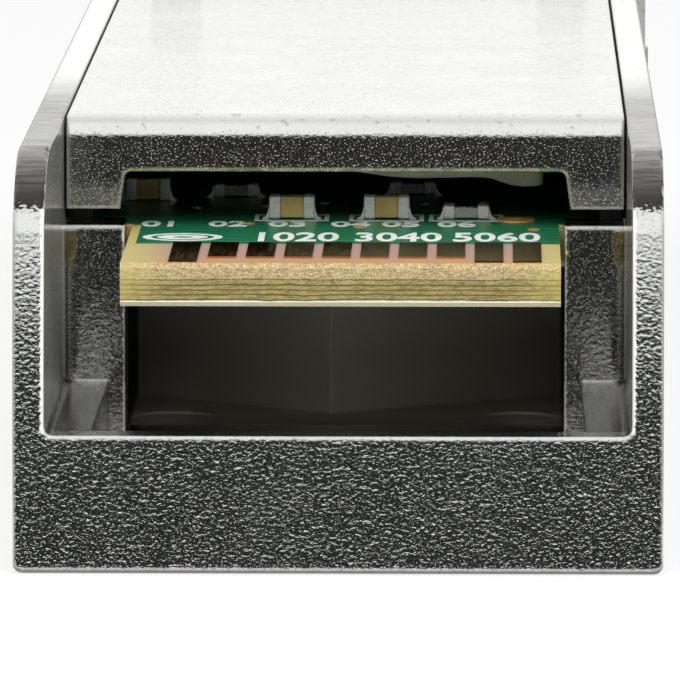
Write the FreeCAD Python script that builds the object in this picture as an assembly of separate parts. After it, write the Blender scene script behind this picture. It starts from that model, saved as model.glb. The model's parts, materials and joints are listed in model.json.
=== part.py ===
import FreeCAD
import Part
import math
import os

# A small pluggable optical transceiver, lying on its label face.
# Lengths are in millimetres. X runs across the part, Y along it and Z up.
# "Depth" is the distance from the rear end, where the card edge is, towards the optical ports.

V = FreeCAD.Vector

# Driving dimensions: overall body
LENGTH = 56.5
WIDTH = 13.4
HEIGHT = 8.5
NOSE_LENGTH = 9.0
SIDE_WALL = 0.65
COVER_GAP = 0.05

# Driving dimensions: rear end of the housing
RIM_HEIGHT = 2.83
RIM_THICKNESS = 1.0
REAR_LEAN_DEG = 4.0
SKIRT_FOOT = 0.6
SKIRT_LEAN_DEG = 11.0
SKIRT_SLOPE_DEG = 50.0
SKIRT_CORNER_DROP = 1.5
SKIRT_CORNER_RADIUS = 0.8
SKIRT_TOP_RADIUS = 3.0
REAR_EDGE_RADIUS = 0.1
BASE_EDGE_RADIUS = 0.2
INNER_EDGE_RADIUS = 0.07

# Driving dimensions: bay, posts, ledges and bulkhead
BAY_STEP = 0.67
LEDGE_WIDTH = 0.965
BAY_CORNER_RADIUS = 0.2
POST_FACE = 8.5
POST_LENGTH = 1.5
POST_RISE = 0.16
POST_COVE_RADIUS = 0.35
POST_EDGE_RADIUS = 0.07
RAIL_WIDTH = 1.05
PROW_DEPTH = 11.7
PROW_SWEEP = 4.1
PROW_OFFSET = -0.35
PROW_BACK = 2.2
PROW_BOARD_GAP = 0.55
EJECTOR_RADIUS = 0.92
EJECTOR_SINK = 0.06
EJECTOR_X = 3.76
EJECTOR_DEPTH = 11.2

# Driving dimensions: circuit board and what stands on it
BOARD_THICKNESS = 0.91
BOARD_DROP = 3.37
BOARD_SETBACK = 3.2
PADDLE_WIDTH = 9.2
PADDLE_GAP = 0.12
SHOULDER_GAP = 0.1
BOARD_SIDE_GAP = 0.4
BOARD_EDGE_CHAMFER = 0.1
PAD_COUNT = 10
PAD_PITCH = 0.8
PAD_SHIFT = 0.3
PAD_WIDTH = 0.6
PAD_THICKNESS = 0.04
PAD_END = 3.4
LONG_PAD_SETBACK = 0.2
SHORT_PAD_SETBACK = 0.9
LONG_PADS = (0, 8, 9)
CHIP_LENGTH = 1.0
CHIP_DEPTH = 0.5
CHIP_TERMINAL = 0.26
CAPACITOR_HEIGHT = 0.5
RESISTOR_HEIGHT = 0.3
SOLDER_REACH = 0.14
SOLDER_RISE = 0.24
CHIP_ROW = 11.05
CAPACITOR_ROW_X = (-1.19, 0.87)
EDGE_CAPACITOR_INSET = 1.2
EDGE_CAPACITOR_DEPTH = 14.4
RESISTOR_ROW_X = 2.6
INNER_RESISTOR_PLACES = ((-2.52, 15.1), (1.4, 15.6))
TEST_PAD_PLACE = (3.67, 10.85)
TEST_PAD_RADIUS = 0.42
TEST_PAD_HOLE = 0.2
CONTROLLER_SIZE = (3.0, 3.0, 0.85)
CONTROLLER_X = -1.0
CONTROLLER_SETBACK = 8.2
DRIVER_SIZE = (3.0, 3.0, 0.8)
DRIVER_X = 2.9
AMPLIFIER_SIZE = (3.0, 3.0, 0.8)
AMPLIFIER_X = -2.9
FRONT_CHIP_SETBACK = 5.0
INDUCTOR_SIZE = (2.0, 1.6, 1.0)
INDUCTOR_X = 3.4
INDUCTOR_SETBACK = 8.4
FILLER_SIZE = (5.7, 3.4)
FILLER_PLACE = (1.45, 13.6)
FILLER_DROP = 1.0

# Driving dimensions: cover
COVER_REAR = 9.2
COVER_SEAM = 0.265
COVER_LIP = 1.22
COVER_ROOF = 0.9
COVER_LIP_LENGTH = 1.1
COVER_SKIRT = 0.5
COVER_REAR_RADIUS = 0.5
COVER_EDGE_RADIUS = 0.07
OPENING_SIDE = 1.16
OPENING_DRAFT = 0.11
OPENING_CORNER_RADIUS = 0.15

# Driving dimensions: nose, ports and optics
NOSE_ROOF = 1.9
NOSE_BLOCK_LENGTH = 7.0
NOSE_WALL = 0.4
NOSE_FLOOR = 0.65
LEG_RECESS = 0.65
FLANGE_LENGTH = 1.1
FLANGE_REACH = 0.4
PORT_SIZE = 4.6
PORT_SIDE_WALL = 0.175
PORT_DROP = 2.65
PORT_SLOT_WIDTH = 3.0
PORT_SLOT_FLOOR = 0.1
PORT_BACK_WALL = 1.0
INSERT_GAP = 0.05
SLEEVE_RADIUS = 0.95
FERRULE_RADIUS = 0.63
SLEEVE_REACH = 3.8
BARREL_RADIUS = 1.25
BARREL_LENGTH = 8.0
CAN_RADIUS = 2.1
CAN_LENGTH = 4.9
CAN_RIM = 0.2
CAN_FLOOR_GAP = 0.65
CAN_BOARD_GAP = 2.1
CAN_RIM_LENGTH = 0.5
CLAMP_LENGTH = 1.5
CLAMP_SETBACK = 4.5
FLEX_WIDTH = 2.6
FLEX_THICKNESS = 0.15
FLEX_OVERLAP = 2.0
FLEX_DROP = 1.0
FLEX_CORNER = 0.5
SCREW_INSET = 0.9
SCREW_SETBACK = 2.2
SCREW_RADIUS = 0.35
SCREW_HEAD_RADIUS = 0.65
SCREW_HEAD_HEIGHT = 0.5
SCREW_HEAD_SINK = 0.1
SCREW_LENGTH = 2.4
SCREW_GAP = 0.05
SCREW_SLOT = 0.18
BOSS_SIZE = 1.5
BOSS_GAP = 0.05
BARREL_GAP = 0.05

# Driving dimensions: latch, slide and bail
LATCH_TO_STOP = 2.5
LATCH_WIDTH = 2.6
LATCH_LENGTH = 2.6
LATCH_HEIGHT = 0.45
LATCH_LAND = 1.0
CHANNEL_WIDTH = 6.3
CHANNEL_PLATE = 0.4
CHANNEL_START = 4.0
GROOVE_WIDTH = 0.4
GROOVE_HEIGHT = 0.45
SLIDE_GAP = 0.12
SLIDE_TOP_GAP = 0.15
SLIDE_FLANGE_HEIGHT = 0.25
SLIDE_START = 3.0
TINE_RAMP = 0.9
SHAFT_RADIUS = 0.3
SHAFT_GAP = 0.05
SHAFT_SETBACK = 2.2
SHAFT_LIFT = 0.4
CAM_RADIUS = 0.62
CAM_THROW = 0.42
CAM_WIDTH = 2.4
CAM_GAP = 0.1
LEG_THICKNESS = 0.7
LEG_WIDTH = 1.3
LEG_GAP = 0.15
HUB_RADIUS = 0.85
BAR_DEPTH = 0.6
BAR_HEIGHT = 0.5
BAR_LIFT = 0.35
GRIP_WALL = 0.28
GRIP_SIDE = 2.1
GRIP_GAP = 0.1

# Driving dimensions: spring collar
COLLAR_THICKNESS = 0.12
COLLAR_LENGTH = 2.2
COLLAR_BASE_GAP = 0.6
FINGER_LENGTH = 2.0
FINGER_WIDTH = 1.2
FINGER_BULGE = 0.3
TOP_FINGER_X = 4.9
SIDE_FINGER_HEIGHTS = (2.6, 5.9)

# How far a cutting tool runs past what it cuts
OVERCUT = 1.0

# Two places closer than this are the same place
CLOSE = 0.005

# Places that follow from the driving dimensions
half_width = WIDTH / 2
inner_half = half_width - SIDE_WALL
stop = LENGTH - NOSE_LENGTH
board_bottom = HEIGHT - BOARD_DROP
board_top = board_bottom + BOARD_THICKNESS
post_top = board_top + POST_RISE
post_end = POST_FACE + POST_LENGTH
post_inner = PADDLE_WIDTH / 2 + PADDLE_GAP
rail_inner = inner_half - RAIL_WIDTH
shoulder = post_end + SHOULDER_GAP
prow_end = PROW_DEPTH + PROW_SWEEP + PROW_BACK
cover_half = inner_half - COVER_GAP
leg_bottom = post_top + COVER_SEAM
lip_bottom = HEIGHT - COVER_LIP
ceiling = HEIGHT - COVER_ROOF
nose_split = HEIGHT - NOSE_ROOF
nose_block_start = stop - NOSE_BLOCK_LENGTH
grip_depth = BAR_DEPTH + 2 * GRIP_WALL
nose_front = LENGTH - grip_depth - GRIP_GAP
nose_half = half_width - LEG_RECESS
insert_half = nose_half - NOSE_WALL - INSERT_GAP
insert_top = nose_split - INSERT_GAP
insert_back = stop - PORT_BACK_WALL
port_x = insert_half - PORT_SIDE_WALL - PORT_SIZE / 2
port_height = nose_split - PORT_DROP
barrel_back = insert_back - BARREL_LENGTH
can_back = barrel_back - CAN_LENGTH
inner_floor = port_height - CAN_RADIUS - CAN_RIM - CAN_FLOOR_GAP
bay_floor = inner_floor + BAY_STEP
board_half = inner_half - BOARD_SIDE_GAP
board_front = can_back - CAN_BOARD_GAP
channel_floor = nose_split + CHANNEL_PLATE
channel_half = CHANNEL_WIDTH / 2
latch_shoulder = stop - LATCH_TO_STOP
latch_rear = latch_shoulder - LATCH_LENGTH
land_end = latch_shoulder + LATCH_LAND
shaft_depth = nose_front - SHAFT_SETBACK
shaft_height = channel_floor + SHAFT_LIFT
cam_offset = CAM_THROW * math.sin(math.radians(45))
slide_travel = 2 * cam_offset
slide_front = shaft_depth - (CAM_RADIUS - cam_offset) - CAM_GAP
leg_inner = nose_half + LEG_GAP
leg_outer = leg_inner + LEG_THICKNESS
bar_front = LENGTH - GRIP_WALL
bar_rear = bar_front - BAR_DEPTH
screw_depth = stop - SCREW_SETBACK
screw_x = inner_half - SCREW_INSET
screw_under_head = HEIGHT - SCREW_HEAD_SINK - SCREW_HEAD_HEIGHT
capacitor_places = [(x, CHIP_ROW) for x in CAPACITOR_ROW_X]
capacitor_places.append((EDGE_CAPACITOR_INSET - board_half, EDGE_CAPACITOR_DEPTH))
resistor_places = [(RESISTOR_ROW_X, CHIP_ROW)] + list(INNER_RESISTOR_PLACES)


# Building helpers


def y_at(depth):
    return depth - LENGTH / 2


def block(x0, x1, d0, d1, z0, z1):
    return Part.makeBox(x1 - x0, d1 - d0, z1 - z0, V(x0, y_at(d0), z0))


def wide_block(half, d0, d1, z0, z1):
    return block(-half, half, d0, d1, z0, z1)


def mirrored(shape):
    return shape.mirror(V(0, 0, 0), V(1, 0, 0))


def both_sides(shape):
    return [shape, mirrored(shape)]


def fused(shapes):
    return shapes[0].multiFuse(shapes[1:]).removeSplitter()


def without(shape, tools):
    return shape.cut(tools).removeSplitter()


def outline_face(points):
    return Part.Face(Part.makePolygon(points + [points[0]]))


def side_prism(outline, x0, x1):
    # A straight-sided outline of (depth, height) points, drawn across the part from x0 to x1.
    face = outline_face([V(x0, y_at(d), z) for d, z in outline])
    return face.extrude(V(x1 - x0, 0, 0))


def plan_prism(outline, z0, z1):
    # An outline of (x, depth) points, raised from z0 to z1.
    face = outline_face([V(x, y_at(d), z0) for x, d in outline])
    return face.extrude(V(0, 0, z1 - z0))


def rear_prism(outline, d0, d1):
    # An outline of (x, height) points, drawn along the part from d0 to d1.
    face = outline_face([V(x, y_at(d0), z) for x, z in outline])
    return face.extrude(V(0, d1 - d0, 0))


def long_rod(x, z, radius, d0, d1):
    return Part.makeCylinder(radius, d1 - d0, V(x, y_at(d0), z), V(0, 1, 0))


def cross_rod(depth, z, radius, x0, x1):
    return Part.makeCylinder(radius, x1 - x0, V(x0, y_at(depth), z), V(1, 0, 0))


def upright_rod(x, depth, radius, z0, z1):
    return Part.makeCylinder(radius, z1 - z0, V(x, y_at(depth), z0), V(0, 0, 1))


def rounded(shape, radius, wanted):
    # Rounds every edge whose middle (x, depth, height) and extent pass the test.
    chosen = []
    for edge in shape.Edges:
        middle = edge.BoundBox.Center
        size = edge.BoundBox
        if wanted(middle.x, middle.y + LENGTH / 2, middle.z, size):
            chosen.append(edge)
    return shape.makeFillet(radius, chosen)


def near(a, b):
    return abs(a - b) < CLOSE


def save(name, shape):
    shape.exportStep(os.path.join("parts", name + ".step"))


# Housing


def skirt_outline():
    # Side view of the rear end: a leaning face that curls over into the top edge of the side wall.
    # Each stretch leaves the last one in the same direction. Headings are measured from upright.
    edges = []
    heading = math.radians(REAR_LEAN_DEG)
    spot = [0.0, 0.0]

    def point():
        return V(-half_width, y_at(spot[0]), spot[1])

    def straight(length):
        start = point()
        spot[0] += length * math.sin(heading)
        spot[1] += length * math.cos(heading)
        edges.append(Part.LineSegment(start, point()).toShape())

    def bend(radius, turn):
        start = point()
        centre = (spot[0] + radius * math.cos(heading), spot[1] - radius * math.sin(heading))
        stops = []
        for share in (0.5, 1.0):
            angle = heading + turn * share
            spot[0] = centre[0] - radius * math.cos(angle)
            spot[1] = centre[1] + radius * math.sin(angle)
            stops.append(point())
        edges.append(Part.Arc(start, stops[0], stops[1]).toShape())

    foot_top = RIM_HEIGHT + SKIRT_FOOT
    straight(foot_top / math.cos(heading))

    skirt_lean = math.radians(SKIRT_LEAN_DEG)
    rise = HEIGHT - SKIRT_CORNER_DROP - foot_top
    bend(rise / (math.sin(skirt_lean) - math.sin(heading)), skirt_lean - heading)
    heading = skirt_lean

    top_heading = math.radians(90 - SKIRT_SLOPE_DEG)
    bend(SKIRT_CORNER_RADIUS, top_heading - heading)
    heading = top_heading

    top_rise = SKIRT_TOP_RADIUS * (1 - math.sin(heading))
    straight((HEIGHT - spot[1] - top_rise) / math.cos(heading))
    bend(SKIRT_TOP_RADIUS, math.radians(90) - heading)

    corners = [point(), V(-half_width, y_at(stop), HEIGHT), V(-half_width, y_at(stop), 0)]
    corners.append(V(-half_width, y_at(0), 0))
    for start, end in zip(corners, corners[1:]):
        edges.append(Part.LineSegment(start, end).toShape())
    return Part.Face(Part.Wire(edges))


def open_tray():
    # The leaning-ended body, hollowed to the rim's height along its whole length.
    envelope = skirt_outline().extrude(V(WIDTH, 0, 0))

    def base_edge(x, d, z, size):
        return near(abs(x), half_width) and near(z, 0)

    envelope = rounded(envelope, BASE_EDGE_RADIUS, base_edge)

    def rear_outline(x, d, z, size):
        beside = near(size.XLength, 0) and near(abs(x), half_width)
        on_skirt = beside and d < stop / 2 and z > RIM_HEIGHT / 4
        on_base = near(z, 0) and near(d, 0)
        on_corner = size.XLength < half_width and z < RIM_HEIGHT / 4 and d < RIM_THICKNESS / 2
        return on_skirt or on_base or on_corner

    envelope = rounded(envelope, REAR_EDGE_RADIUS, rear_outline)
    hollow = wide_block(inner_half, -OVERCUT, stop + OVERCUT, RIM_HEIGHT, HEIGHT + OVERCUT)

    def floor_edge(x, d, z, size):
        return near(z, RIM_HEIGHT) and size.YLength > stop

    tray = envelope.cut(rounded(hollow, BAY_CORNER_RADIUS, floor_edge))

    def inner_outline(x, d, z, size):
        inside = abs(x) < inner_half + CLOSE and z > RIM_HEIGHT - CLOSE
        return inside and d < RIM_THICKNESS and size.XLength + size.ZLength > INNER_EDGE_RADIUS

    return rounded(tray, INNER_EDGE_RADIUS, inner_outline)


def post():
    # A post beside the paddle, with a cove where its face meets the side wall.
    pillar = block(post_inner, half_width - SIDE_WALL / 2, POST_FACE, post_end, 0, post_top)

    def seen_edge(x, d, z, size):
        upright = near(x, post_inner) and size.ZLength > post_top / 2
        return near(d, POST_FACE) and (upright or near(z, post_top))

    pillar = rounded(pillar, POST_EDGE_RADIUS, seen_edge)
    r = POST_COVE_RADIUS
    cove = block(inner_half - r, half_width - SIDE_WALL / 2, POST_FACE - r, post_end, 0,
                 post_top - POST_EDGE_RADIUS)
    cove = cove.cut(upright_rod(inner_half - r, POST_FACE - r, r, -OVERCUT, HEIGHT))
    return pillar.fuse(cove)


def bulkhead():
    # A wall below the board, pointed in plan towards the rear.
    sweep_end = PROW_DEPTH + PROW_SWEEP
    outline = [(-inner_half, sweep_end), (PROW_OFFSET, PROW_DEPTH), (inner_half, sweep_end),
               (inner_half, prow_end), (-inner_half, prow_end)]
    return plan_prism(outline, 0, board_bottom - PROW_BOARD_GAP)


def screw_boss():
    reach = BOSS_SIZE / 2
    return block(screw_x - reach, half_width - SIDE_WALL / 2, screw_depth - reach, screw_depth + reach,
                 0, nose_split - BOSS_GAP)


def housing_pockets():
    ledge_inner = inner_half - LEDGE_WIDTH
    rail_bay = wide_block(rail_inner, post_end, board_front, inner_floor, HEIGHT)
    under_prow = wide_block(rail_inner, post_end, prow_end, inner_floor, bay_floor)
    optics_bay = wide_block(inner_half, board_front, stop, inner_floor, HEIGHT)
    pockets = [
        wide_block(ledge_inner, RIM_THICKNESS, POST_FACE, bay_floor, HEIGHT),
        wide_block(post_inner, RIM_THICKNESS, post_end, bay_floor, HEIGHT),
        rail_bay.cut([bulkhead(), under_prow]),
        optics_bay.cut(both_sides(screw_boss())),
        wide_block(insert_half + INSERT_GAP, insert_back, stop, NOSE_FLOOR, nose_split),
    ]
    for side in (-1, 1):
        pockets.append(long_rod(side * port_x, port_height, BARREL_RADIUS + BARREL_GAP,
                                board_front, stop))
        pockets.append(upright_rod(side * EJECTOR_X, EJECTOR_DEPTH, EJECTOR_RADIUS,
                                   bay_floor - EJECTOR_SINK, bay_floor + EJECTOR_SINK))
        pockets.append(upright_rod(side * screw_x, screw_depth, SCREW_RADIUS + SCREW_GAP,
                                   screw_under_head - SCREW_LENGTH - SCREW_GAP, nose_split))
    return pockets


def nose_tray():
    # The part of the housing that stands outside a cage: a tray with a stop flange on each side.
    tray = wide_block(nose_half, stop, nose_front, 0, nose_split)
    tray = tray.cut(wide_block(nose_half - NOSE_WALL, stop, nose_front + OVERCUT, NOSE_FLOOR, nose_split))
    flange = block(nose_half, half_width + FLANGE_REACH, stop, stop + FLANGE_LENGTH, 0, HEIGHT)
    return [tray] + both_sides(flange)


def lower_housing():
    rail = block(rail_inner, half_width - SIDE_WALL / 2, post_end, board_front, 0, board_bottom)
    uprights = both_sides(post()) + both_sides(rail) + both_sides(screw_boss())
    body = without(fused([open_tray(), bulkhead()] + uprights), housing_pockets())
    return fused([body] + nose_tray())


# Circuit board and its parts


def circuit_board():
    paddle_half = PADDLE_WIDTH / 2
    outline = [(-paddle_half, BOARD_SETBACK), (paddle_half, BOARD_SETBACK), (paddle_half, shoulder),
               (board_half, shoulder), (board_half, board_front), (-board_half, board_front),
               (-board_half, shoulder), (-paddle_half, shoulder)]
    board = plan_prism(outline, board_bottom, board_top)
    rear_edges = [edge for edge in board.Edges
                  if near(edge.BoundBox.Center.y, y_at(BOARD_SETBACK))
                  and edge.BoundBox.XLength > paddle_half]
    board = board.makeChamfer(BOARD_EDGE_CHAMFER, rear_edges)
    x, depth = TEST_PAD_PLACE
    return board.cut(upright_rod(x, depth, TEST_PAD_HOLE, board_bottom - OVERCUT, board_top + OVERCUT))


def edge_contacts(z0, z1):
    pads = []
    for index in range(PAD_COUNT):
        setback = LONG_PAD_SETBACK if index in LONG_PADS else SHORT_PAD_SETBACK
        x = PAD_SHIFT + (index - (PAD_COUNT - 1) / 2) * PAD_PITCH
        pads.append(block(x - PAD_WIDTH / 2, x + PAD_WIDTH / 2, BOARD_SETBACK + setback,
                          BOARD_SETBACK + PAD_END, z0, z1))
    return Part.Compound(pads)


def chip_bodies(places, height):
    half = CHIP_LENGTH / 2 - CHIP_TERMINAL
    return Part.Compound([block(x - half, x + half, d, d + CHIP_DEPTH, board_top, board_top + height)
                          for x, d in places])


def chip_terminals(places, height):
    ends = []
    for x, d in places:
        for side in (-1, 1):
            far = x + side * CHIP_LENGTH / 2
            near_end = far - side * CHIP_TERMINAL
            ends.append(block(min(far, near_end), max(far, near_end), d, d + CHIP_DEPTH,
                              board_top, board_top + height))
    return Part.Compound(ends)


def solder_joints():
    wedges = []
    for x, d in capacitor_places + resistor_places:
        for side in (-1, 1):
            foot = x + side * CHIP_LENGTH / 2
            outline = [(foot, board_top), (foot + side * SOLDER_REACH, board_top),
                       (foot, board_top + SOLDER_RISE)]
            wedges.append(rear_prism(outline, d, d + CHIP_DEPTH))
    return Part.Compound(wedges)


def test_pad():
    x, depth = TEST_PAD_PLACE
    ring = upright_rod(x, depth, TEST_PAD_RADIUS, board_top, board_top + PAD_THICKNESS)
    return ring.cut(upright_rod(x, depth, TEST_PAD_HOLE, board_top - OVERCUT, board_top + OVERCUT))


def board_chip(size, x, setback):
    width, depth, height = size
    d = board_front - setback
    return block(x - width / 2, x + width / 2, d - depth / 2, d + depth / 2, board_top, board_top + height)


def thermal_pad():
    width, depth = FILLER_SIZE
    x, d = FILLER_PLACE
    return block(x - width / 2, x + width / 2, d - depth / 2, d + depth / 2, ceiling - FILLER_DROP, ceiling)


# Cover


def cover_plate():
    # The flat cover between the side walls, with a bridge-shaped rear end.
    plate = wide_block(cover_half, COVER_REAR, nose_block_start, board_top, HEIGHT)

    def top_rear(x, d, z, size):
        return near(z, HEIGHT) and near(d, COVER_REAR)

    plate = rounded(plate, COVER_REAR_RADIUS, top_rear)
    lip_end = COVER_REAR + COVER_LIP_LENGTH
    low_half = cover_half - OPENING_SIDE
    high_half = low_half - OPENING_DRAFT
    mouth = rear_prism([(-low_half, leg_bottom), (low_half, leg_bottom), (high_half, lip_bottom),
                        (-high_half, lip_bottom)], COVER_REAR - OVERCUT, lip_end)

    def mouth_corner(x, d, z, size):
        return near(z, lip_bottom) and size.YLength > COVER_LIP_LENGTH

    mouth = rounded(mouth, OPENING_CORNER_RADIUS, mouth_corner)
    hollows = [
        mouth,
        wide_block(half_width, COVER_REAR - OVERCUT, lip_end, 0, leg_bottom),
        wide_block(cover_half - COVER_SKIRT, lip_end, nose_block_start, 0, ceiling),
    ]
    plate = without(plate, hollows)

    def rear_face_edge(x, d, z, size):
        return near(d, COVER_REAR) and size.YLength < CLOSE and z < HEIGHT - COVER_REAR_RADIUS - CLOSE

    return rounded(plate, COVER_EDGE_RADIUS, rear_face_edge)


def latch_land():
    # The fixed wedge that a cage's latch hooks over, on an island in the slide's channel.
    island = wide_block(LATCH_WIDTH / 2, latch_rear, land_end, channel_floor, HEIGHT)
    wedge = side_prism([(latch_rear, HEIGHT), (latch_shoulder, HEIGHT + LATCH_HEIGHT),
                        (latch_shoulder, HEIGHT)], -LATCH_WIDTH / 2, LATCH_WIDTH / 2)
    return [island, wedge]


def top_cover():
    nose = fused([
        wide_block(cover_half, nose_block_start, stop, nose_split, HEIGHT),
        wide_block(nose_half, stop, nose_front, nose_split, HEIGHT),
    ])
    channel_start = stop - CHANNEL_START - LATCH_TO_STOP
    hollows = [
        wide_block(channel_half, channel_start, nose_front + OVERCUT, channel_floor, HEIGHT + OVERCUT),
        wide_block(channel_half + GROOVE_WIDTH, channel_start, slide_front, channel_floor,
                   channel_floor + GROOVE_HEIGHT),
        cross_rod(shaft_depth, shaft_height, SHAFT_RADIUS + SHAFT_GAP, -WIDTH, WIDTH),
    ]
    for side in (-1, 1):
        hollows.append(upright_rod(side * screw_x, screw_depth, SCREW_RADIUS + SCREW_GAP, 0,
                                   HEIGHT + OVERCUT))
        hollows.append(upright_rod(side * screw_x, screw_depth, SCREW_HEAD_RADIUS + SCREW_GAP,
                                   screw_under_head, HEIGHT + OVERCUT))
    nose = without(nose, hollows)
    return fused([cover_plate(), nose] + latch_land())


def cover_screws():
    screws = []
    for side in (-1, 1):
        x = side * screw_x
        top = screw_under_head + SCREW_HEAD_HEIGHT
        head = upright_rod(x, screw_depth, SCREW_HEAD_RADIUS, screw_under_head, top)
        shank = upright_rod(x, screw_depth, SCREW_RADIUS, screw_under_head - SCREW_LENGTH, screw_under_head)
        slots = [
            block(x - SCREW_HEAD_RADIUS / 2, x + SCREW_HEAD_RADIUS / 2, screw_depth - SCREW_SLOT / 2,
                  screw_depth + SCREW_SLOT / 2, top - SCREW_HEAD_HEIGHT / 2, top),
            block(x - SCREW_SLOT / 2, x + SCREW_SLOT / 2, screw_depth - SCREW_HEAD_RADIUS / 2,
                  screw_depth + SCREW_HEAD_RADIUS / 2, top - SCREW_HEAD_HEIGHT / 2, top),
        ]
        screws.append(fused([head, shank]).cut(slots))
    return Part.Compound(screws)


# Optics


def port_insert():
    body = wide_block(insert_half, insert_back, nose_front, NOSE_FLOOR, insert_top)
    half = PORT_SIZE / 2
    cuts = []
    for side in (-1, 1):
        x = side * port_x
        low = port_height - half
        cuts.append(block(x - half, x + half, stop, nose_front + OVERCUT, low, port_height + half))
        cuts.append(block(x - PORT_SLOT_WIDTH / 2, x + PORT_SLOT_WIDTH / 2, stop + PORT_BACK_WALL,
                          nose_front + OVERCUT, NOSE_FLOOR + PORT_SLOT_FLOOR, low))
        cuts.append(long_rod(x, port_height, SLEEVE_RADIUS, insert_back - OVERCUT, stop + OVERCUT))
    return without(body, cuts)


def ferrule_sleeves():
    sleeves = []
    for side in (-1, 1):
        x = side * port_x
        tube = long_rod(x, port_height, SLEEVE_RADIUS, insert_back, stop + SLEEVE_REACH)
        sleeves.append(tube.cut(long_rod(x, port_height, FERRULE_RADIUS, insert_back - OVERCUT, LENGTH)))
    return Part.Compound(sleeves)


def optical_barrel(side):
    return long_rod(side * port_x, port_height, BARREL_RADIUS, barrel_back, insert_back)


def optical_can(side):
    x = side * port_x
    rim = long_rod(x, port_height, CAN_RADIUS + CAN_RIM, can_back, can_back + CAN_RIM_LENGTH)
    return fused([rim, long_rod(x, port_height, CAN_RADIUS, can_back, barrel_back)])


def optical_flex(side):
    # A thin strip from the back of the can, up past the end of the board and on to its top face.
    x = side * port_x
    t = FLEX_THICKNESS
    tail = port_height - FLEX_DROP
    bend = board_top - FLEX_CORNER
    turn = can_back - FLEX_CORNER
    end = board_front - FLEX_OVERLAP
    outline = [(can_back - t, tail), (can_back, tail), (can_back, bend), (turn, board_top + t),
               (end, board_top + t), (end, board_top), (turn - t / 2, board_top),
               (can_back - t, bend - t / 2)]
    return side_prism(outline, x - FLEX_WIDTH / 2, x + FLEX_WIDTH / 2)


def optics_clamp():
    front = insert_back - CLAMP_SETBACK
    plate = wide_block(inner_half, front - CLAMP_LENGTH, front, inner_floor, nose_split)
    holes = [long_rod(side * port_x, port_height, BARREL_RADIUS, 0, LENGTH) for side in (-1, 1)]
    return plate.cut(holes)


# Latch slide, bail and spring collar


def latch_slide():
    half = channel_half - SLIDE_GAP
    low = channel_floor + SLIDE_GAP / 2
    high = HEIGHT - SLIDE_TOP_GAP
    tine_rear = stop - LATCH_TO_STOP - SLIDE_START
    bridge_rear = land_end + slide_travel + SLIDE_GAP
    tine_inner = LATCH_WIDTH / 2 + SLIDE_GAP
    tine = block(tine_inner, half, tine_rear, bridge_rear, low, high)
    ramp = side_prism([(tine_rear, high), (tine_rear + TINE_RAMP, high), (tine_rear, high - TINE_RAMP)],
                      0, WIDTH)
    tine = tine.cut(ramp)
    flange = block(half, channel_half + GROOVE_WIDTH - SLIDE_GAP, tine_rear + TINE_RAMP,
                   slide_front - slide_travel, low, low + SLIDE_FLANGE_HEIGHT)
    bridge = wide_block(half, bridge_rear, slide_front, low, high)
    return fused([bridge] + both_sides(tine) + both_sides(flange))


def bail_shaft():
    rod = cross_rod(shaft_depth, shaft_height, SHAFT_RADIUS, -leg_outer, leg_outer)
    cam = cross_rod(shaft_depth + cam_offset, shaft_height + cam_offset, CAM_RADIUS,
                    -CAM_WIDTH / 2, CAM_WIDTH / 2)
    return fused([rod, cam])


def bail_lever():
    # A loop hinged high on the nose: two slanting legs and a bar across the front, low down.
    half = LEG_WIDTH / 2
    bar_top = BAR_LIFT + BAR_HEIGHT
    outline = [(shaft_depth - half, shaft_height), (shaft_depth + half, shaft_height),
               (bar_front, bar_top + half), (bar_front, BAR_LIFT), (bar_rear, BAR_LIFT),
               (bar_rear, bar_top)]
    leg = fused([
        side_prism(outline, leg_inner, leg_outer),
        cross_rod(shaft_depth, shaft_height, HUB_RADIUS, leg_inner, leg_outer),
    ])
    bar = wide_block(leg_inner, bar_rear, bar_front, BAR_LIFT, bar_top)
    lever = fused([bar] + both_sides(leg))
    return lever.cut(cross_rod(shaft_depth, shaft_height, SHAFT_RADIUS, -WIDTH, WIDTH))


def bail_grip():
    half = leg_inner - GRIP_SIDE
    sleeve = wide_block(half, bar_rear - GRIP_WALL, bar_front + GRIP_WALL, BAR_LIFT - GRIP_WALL,
                        BAR_LIFT + BAR_HEIGHT + GRIP_WALL)

    def long_edge(x, d, z, size):
        return size.XLength > half

    sleeve = rounded(sleeve, GRIP_WALL / 2, long_edge)
    return sleeve.cut(wide_block(half + OVERCUT, bar_rear, bar_front, BAR_LIFT, BAR_LIFT + BAR_HEIGHT))


def finger_face(origin, out):
    # A bowed spring finger: from the collar's edge rearwards, out and back towards the wall.
    def spot(back, lift):
        return origin + V(0, -back, 0) + out * lift

    t = COLLAR_THICKNESS
    far = FINGER_LENGTH
    edges = [
        Part.Arc(spot(0, t), spot(far / 2, t + FINGER_BULGE), spot(far, t)).toShape(),
        Part.LineSegment(spot(far, t), spot(far, 0)).toShape(),
        Part.Arc(spot(far, 0), spot(far / 2, FINGER_BULGE), spot(0, 0)).toShape(),
        Part.LineSegment(spot(0, 0), spot(0, t)).toShape(),
    ]
    return Part.Face(Part.Wire(edges))


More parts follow.
